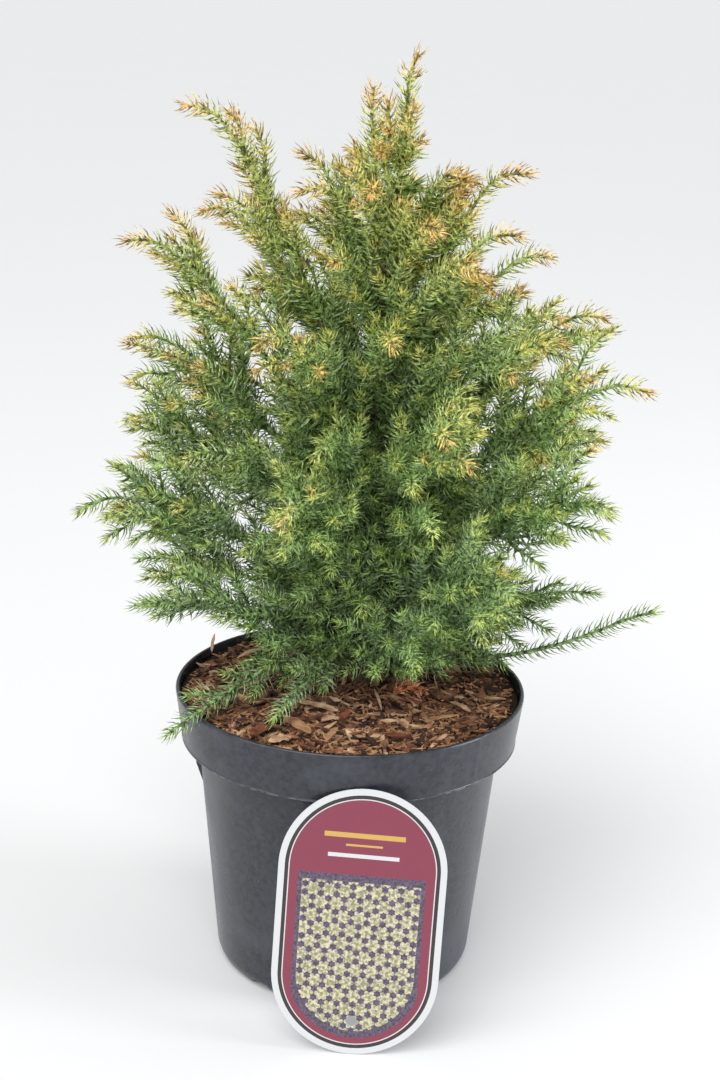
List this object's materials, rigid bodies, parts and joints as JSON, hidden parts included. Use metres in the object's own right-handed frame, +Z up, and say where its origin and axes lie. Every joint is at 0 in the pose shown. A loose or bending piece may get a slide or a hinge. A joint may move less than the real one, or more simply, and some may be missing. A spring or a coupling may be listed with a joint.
{
  "type": "potted young cryptomeria",
  "caption": "Small bushy evergreen conifer with upswept foxtail shoots and gold tips, growing in a round nursery pot topped with bark mulch, a plain label leaning on it.",
  "frame": {"origin": "centre of the pot's flat underside", "axes": "+Z up along the pot's axis and the plant; +X to the right of the label, -Y towards the label's side"},
  "size_m": [0.2878, 0.2325, 0.4495],
  "materials": {
    "pot_plastic": "dark slate grey moulded plastic, satin, lightly scuffed",
    "bark_mulch": "shredded brown bark with tan chips, matt",
    "label_card": "maroon printed plastic card with a white border, semi-gloss",
    "bark": "thin fibrous red-brown bark, matt",
    "foliage_gold": "orange-gold young needles, satin",
    "foliage_lime": "yellow-green needles, satin",
    "foliage_green": "mid green needles, satin",
    "foliage_deep": "dark blue-green needles, satin"
  },
  "bodies": {
    "root": {"pot": "pot_plastic", "potting_mix": "bark_mulch", "plant_label": "label_card", "trunk": "bark", "left_leader_bough": "bark", "left_2_bough": "bark", "left_3_bough": "bark", "left_4_bough": "bark", "left_5_bough": "bark", "left_6_bough": "bark", "left_7_bough": "bark", "over_rim_bough": "bark", "right_5_bough": "bark", "right_6_bough": "bark", "right_7_bough": "bark", "right_8_bough": "bark", "front_4_bough": "bark", "front_5_bough": "bark", "front_6_bough": "bark", "back_4_bough": "bark", "back_5_bough": "bark", "back_6_bough": "bark", "leader_foliage": "foliage_gold", "second_leader_foliage": "foliage_gold", "left_leader_foliage": "foliage_gold", "left_inner_foliage": "foliage_gold", "left_1_foliage": "foliage_lime", "left_2_foliage": "foliage_lime", "left_3_foliage": "foliage_lime", "left_4_foliage": "foliage_green", "left_5_foliage": "foliage_green", "left_6_foliage": "foliage_deep", "left_7_foliage": "foliage_deep", "over_rim_foliage": "foliage_deep", "right_inner_foliage": "foliage_gold", "right_1_foliage": "foliage_gold", "right_2_foliage": "foliage_lime", "right_3_foliage": "foliage_lime", "right_4_foliage": "foliage_lime", "right_5_foliage": "foliage_lime", "right_6_foliage": "foliage_lime", "right_7_foliage": "foliage_green", "right_8_foliage": "foliage_green", "low_front_foliage": "foliage_deep", "low_right_foliage": "foliage_deep", "right_9_foliage": "foliage_deep", "front_1_foliage": "foliage_gold", "front_2_foliage": "foliage_lime", "front_3_foliage": "foliage_lime", "front_4_foliage": "foliage_green", "front_5_foliage": "foliage_green", "front_6_foliage": "foliage_deep", "front_7_foliage": "foliage_deep", "back_1_foliage": "foliage_gold", "back_2_foliage": "foliage_lime", "back_3_foliage": "foliage_lime", "back_4_foliage": "foliage_green", "back_5_foliage": "foliage_green", "back_6_foliage": "foliage_deep", "back_7_foliage": "foliage_deep"}
  },
  "joints": []
}
